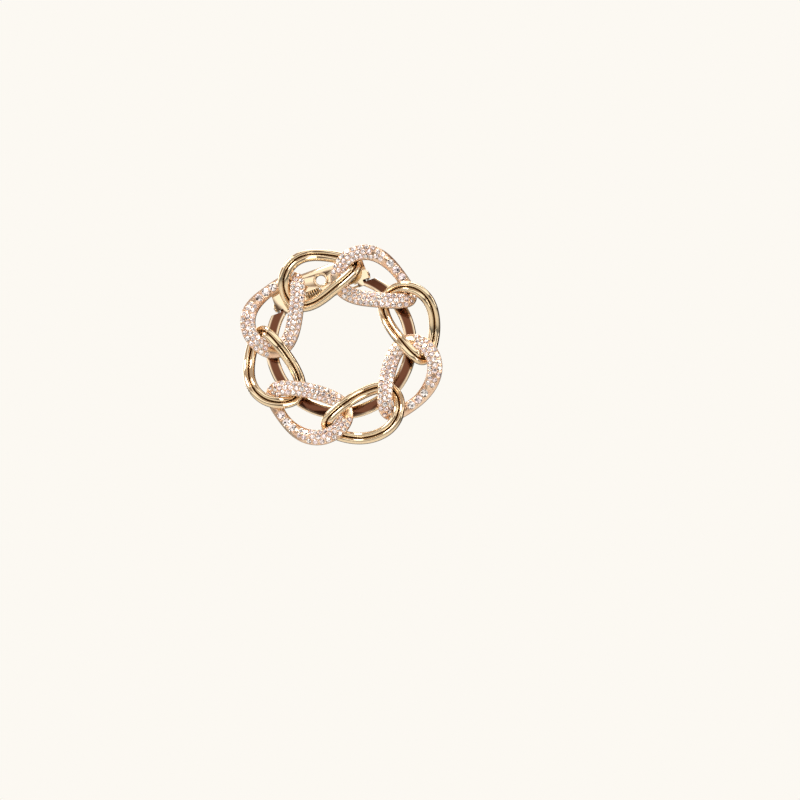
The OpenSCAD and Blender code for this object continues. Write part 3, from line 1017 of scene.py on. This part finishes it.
def plate_posts():
    """Posts from the rails' backs to the plate: radius r (0.86 + 0.14 |2t - 1|^3), t from 0 to 1."""
    shape = Shape()
    for k, q in POSTS:
        place = link_point(q)
        start, end = place[1] + RAIL_D / 2 - POST_SUNK, PLATE_GAP
        t = np.linspace(0, 1, 13)
        radius = POST_R * (0.86 + 0.14 * np.abs(2 * t - 1) ** 3)
        stations = np.stack([start + (end - start) * t, radius], -1)
        bar = tube(stations, (place * [1, 0, 1], *BACKWARDS), 28)
        shape.grid(turned(bar, link_turn(k)), wraps=(False, True), capped=True)
    nodes = [f"solder_post_{n}" for n in (1, 2, 3)]
    add_piece("plate_posts", shape, SOLDER, "wreath", nodes)


crossing_solder()
plate_posts()

# ---- Clip ----
IN_CLIP = FIRST_LINK_TURN + CLIP_TURN
HINGE_LINE = (np.array([0, PIN_Y, HINGE_Z]), X_AXIS, -FRONT, Z_AXIS)
RING_GOLD_AND_REFLECTION = ring_finish("ring_gold_painted_reflection", (0.95, 0.79, 0.57), (0.15, 0.06, 0.033))


def plate_eyelet():
    """A rolled rim in front of the plate and a short barrel through it, turned about their axis."""
    inner, outer = EYELET_R, EYELET_R + EYELET_WALL
    face, back = PLATE_GAP, PLATE_GAP + PLATE_T + 0.15
    profile = smooth_loop(
        [
            (inner, face + 0.05),
            (inner, face - 0.12),
            (inner + 0.13, face - 0.23),
            (inner + 0.34, face - 0.23),
            (inner + 0.49, face - 0.12),
            (inner + 0.47, face - 0.03),
            (outer + 0.04, face - 0.02),
            (outer, face + 0.06),
            (outer, back - 0.1),
            (outer - 0.05, back),
            (inner + 0.05, back),
            (inner, back - 0.1),
        ],
        3,
    )
    centre = np.array([EYELET_X, 0, EYELET_Z])
    shape = Shape().grid(turned(revolved(profile, (centre, *BACKWARDS)), IN_CLIP))
    add_piece("plate_eyelet", shape, CLIP_GOLD, "wreath", ["eyelet"])


def hinge_rod():
    """The pin, with both ends peened to a low dome.

    Over a dome the radius is R cos a and the distance from the end is h (1 - sin a), with a from
    80 degrees at the end to 0.
    """
    end = EAR_X + PLATE_T + PIN_STICK
    a = np.radians(np.linspace(80, 0, 7))
    dome = np.stack([end - PEEN_H * (1 - np.sin(a)), PIN_R * np.cos(a)], -1)
    shaft = np.stack([np.linspace(end - PEEN_L, PEEN_L - end, 9), np.full(9, PIN_R)], -1)
    stations = np.concatenate([dome, shaft, dome[::-1] * [-1, 1]])
    bar = tube(stations, HINGE_LINE, 32)
    shape = Shape().grid(turned(bar, IN_CLIP), wraps=(False, True), capped=True)
    add_piece("hinge_rod", shape, SPRING, "wreath", ["hinge_pin"])


def rod_washer(name, side, node):
    """A small washer with a softly crowned outer face, turned about the hinge line."""
    x = EAR_X + PLATE_T + WASHER_GAP
    inner, t = PIN_R + WASHER_GAP, WASHER_T
    corners = [(inner, x), (inner, x + t - 0.03), (inner + 0.06, x + t), (0.8 * WASHER_R, x + 0.96 * t)]
    corners += [(WASHER_R - 0.02, x + 0.7 * t), (WASHER_R, x + 0.3 * t), (WASHER_R - 0.05, x)]
    profile = smooth_loop(corners, 4) * [1, side]
    grid = revolved(profile, HINGE_LINE, 40)
    shape = Shape().grid(turned(grid, IN_CLIP))
    add_piece(name, shape, CLIP_GOLD, "wreath", [node])


def coil_spring():
    """Round wire along a helix about the hinge line, with a leg at each end.

    The helix is x0 + p t, R cos(180 + 360 t), R sin(180 + 360 t), with t counting turns.  One leg
    stands up the plate's back.  The other crosses behind the ring's right arm.
    """
    turns = COIL_TURNS + 0.25
    t = np.linspace(0, turns, int(32 * turns) + 1)
    a = math.pi + 2 * math.pi * t
    around = np.stack([np.cos(a), np.sin(a)], -1)
    helix = np.concatenate([(COIL_X + COIL_PITCH * t)[:, None], COIL_R * around + [PIN_Y, HINGE_Z]], 1)
    rise = np.linspace(LEG_UP, 0.2, 12)[:, None]
    leg = [COIL_X, PIN_Y - COIL_R, HINGE_Z] + rise * Z_AXIS
    end_x, bar_z = helix[-1, 0], HINGE_Z - BAR_DROP
    leaving = smooth_run(
        [
            helix[-1],
            (end_x + 0.25, PIN_Y + 0.22, HINGE_Z - COIL_R - 0.12),
            (end_x + 0.65, (PIN_Y + BAR_Y) / 2 + 0.14, HINGE_Z - (COIL_R + BAR_DROP) / 2 - 0.06),
            (end_x + 1.2, BAR_Y, bar_z),
            ((end_x + BAR_END_X) / 2, BAR_Y, bar_z),
            (BAR_END_X, BAR_Y, bar_z),
        ],
        8,
    )
    path = np.concatenate([leg, helix, leaving[1:]])
    along = unit(np.gradient(path, axis=0))
    share = np.clip((np.arange(len(path)) - len(leg) - len(helix) + 24) / 36, 0, 1)[:, None]
    guide = (1 - share) * X_AXIS + share * Z_AXIS
    side = unit(guide - np.einsum("ij,ij->i", guide, along)[:, None] * along)
    b = np.linspace(0, 2 * math.pi, 12, endpoint=False)
    section = np.repeat(WIRE_R * np.stack([np.cos(b), np.sin(b)], -1)[None], len(path), axis=0)
    grid = sweep(path, side, np.cross(along, side), section)
    shape = Shape().grid(turned(grid, IN_CLIP), wraps=(False, True), capped=True)
    row = np.arange(len(path))
    in_coil = (row > len(leg) + 4) & (row < len(leg) + len(helix) - 4)
    # Painted shade on each coil turn's sides that face its neighbours
    hollow = in_coil[:, None] * np.clip((np.abs(np.cos(b)) - 0.5) / 0.3, 0, 1)
    hollow = np.append(hollow.ravel(), [0, 0])
    spring = add_piece(
        "coil_spring", shape, SPRING, None, ["torsion_spring"], hollow=hollow
    )
    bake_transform(spring)


softened_copy("hinge_plate", "clip_plate", 0.09, CLIP_GOLD, "wreath")
softened_copy("gripping_ring", "clip_ring", 0.07, RING_GOLD_AND_REFLECTION, "ring")
plate_eyelet()
hinge_rod()
rod_washer("rod_washer_left", -1, "pin_washer_1")
rod_washer("rod_washer_right", 1, "pin_washer_2")
coil_spring()

# ---- Stage ----
CAMERA_TURN = 3.6
CAMERA_LIFT = -9.3
CAMERA_AWAY = 450
VIEW_W = 160
AIM_RIGHT = 11.74
AIM_DOWN = 10.84
FLOOR_Z = -200
FLOOR_R = 2000
FLOOR_SIDES = 96
SENSOR_W = 36


def add_camera():
    """The camera looks a little past the brooch, which sits up and left of the view's middle."""
    a, e = math.radians(CAMERA_TURN), math.radians(CAMERA_LIFT)
    back = Vector((math.sin(a) * math.cos(e), -math.cos(a) * math.cos(e), math.sin(e)))
    right = Vector((math.cos(a), math.sin(a), 0))
    up = back.cross(right)
    middle = Vector((0, MID_Y, 0))
    place = middle + back * CAMERA_AWAY
    aim = middle + right * AIM_RIGHT - up * AIM_DOWN
    data = bpy.data.cameras.new("camera")
    data.sensor_width = SENSOR_W
    data.lens = SENSOR_W * CAMERA_AWAY / VIEW_W
    data.clip_start = 0.01
    data.clip_end = 20
    camera = bpy.data.objects.new("camera", data)
    camera.location = place * MM
    camera.rotation_euler = (aim - place).to_track_quat("-Z", "Y").to_euler()
    bpy.context.scene.collection.objects.link(camera)
    bpy.context.scene.camera = camera


def add_softbox(name, place, size, watts, colour):
    """A rectangular light that faces the brooch; its place and size are in metres."""
    data = bpy.data.lights.new(name, "AREA")
    data.shape = "RECTANGLE"
    data.size, data.size_y = size
    data.energy = watts
    data.color = colour
    light = bpy.data.objects.new(name, data)
    light.location = place
    light.rotation_euler = (-Vector(place)).to_track_quat("-Z", "Y").to_euler()
    bpy.context.scene.collection.objects.link(light)


def add_floor():
    """One level disc: R cos a, R sin a."""
    a = np.radians(np.arange(FLOOR_SIDES) * 360 / FLOOR_SIDES)
    rim = np.stack([FLOOR_R * np.cos(a), FLOOR_R * np.sin(a), np.full(FLOOR_SIDES, FLOOR_Z)], -1)
    mesh = bpy.data.meshes.new("floor")
    mesh.from_pydata((rim * MM).tolist(), [], [list(range(FLOOR_SIDES))])
    mesh.materials.append(floor_finish("pale_floor"))
    floor = bpy.data.objects.new("floor", mesh)
    bpy.context.scene.collection.objects.link(floor)


def light_world():
    """A pale room for the camera; reflections see a bright band, up and left, over a dark half."""
    world = bpy.data.worlds.new("studio")
    world.use_nodes = True
    bpy.context.scene.world = world
    look = Look(world.node_tree)
    direction = look.node("ShaderNodeTexCoord", output="Generated")
    facing = look.vector("DOT_PRODUCT", direction, (-0.45, -0.30, 0.84), "Value")
    stops = [
        (0.0, rgb(0.03, 0.015, 0.01)),
        (0.42, rgb(0.06, 0.03, 0.02)),
        (0.52, rgb(0.18, 0.11, 0.08)),
        (0.58, rgb(0.32, 0.24, 0.19)),
        (0.62, rgb(0.08, 0.04, 0.03)),
        (0.65, rgb(0.12, 0.075, 0.055)),
        (0.685, rgb(1.25, 1.18, 1.10)),
        (0.77, rgb(1.2, 1.13, 1.05)),
        (0.83, rgb(0.36, 0.28, 0.24)),
        (0.92, rgb(0.46, 0.37, 0.32)),
    ]
    room = look.node("ShaderNodeValToRGB", {"stops": stops}, {"Fac": 0.5 + facing * 0.5})
    seen = look.node("ShaderNodeLightPath", output="Is Camera Ray")
    sky = look.mix(seen, room, PALE)
    background = look.node("ShaderNodeBackground", {}, {"Color": sky, "Strength": 1.0})
    look.node("ShaderNodeOutputWorld", {}, {"Surface": background})


add_camera()
add_floor()
light_world()
add_softbox("key_light", (-0.32, -0.42, 0.42), (0.30, 0.20), 2.1, (1.0, 0.97, 0.92))
add_softbox("side_light", (0.50, -0.35, 0.12), (0.12, 0.45), 0.8, (1.0, 0.95, 0.88))
add_softbox("top_light", (0.05, 0.12, 0.55), (0.45, 0.20), 1.2, (1.0, 0.98, 0.95))
add_softbox("back_light", (-0.25, 0.45, 0.15), (0.30, 0.30), 0.8, (1.0, 0.97, 0.93))
bpy.context.scene.view_settings.view_transform = "Standard"
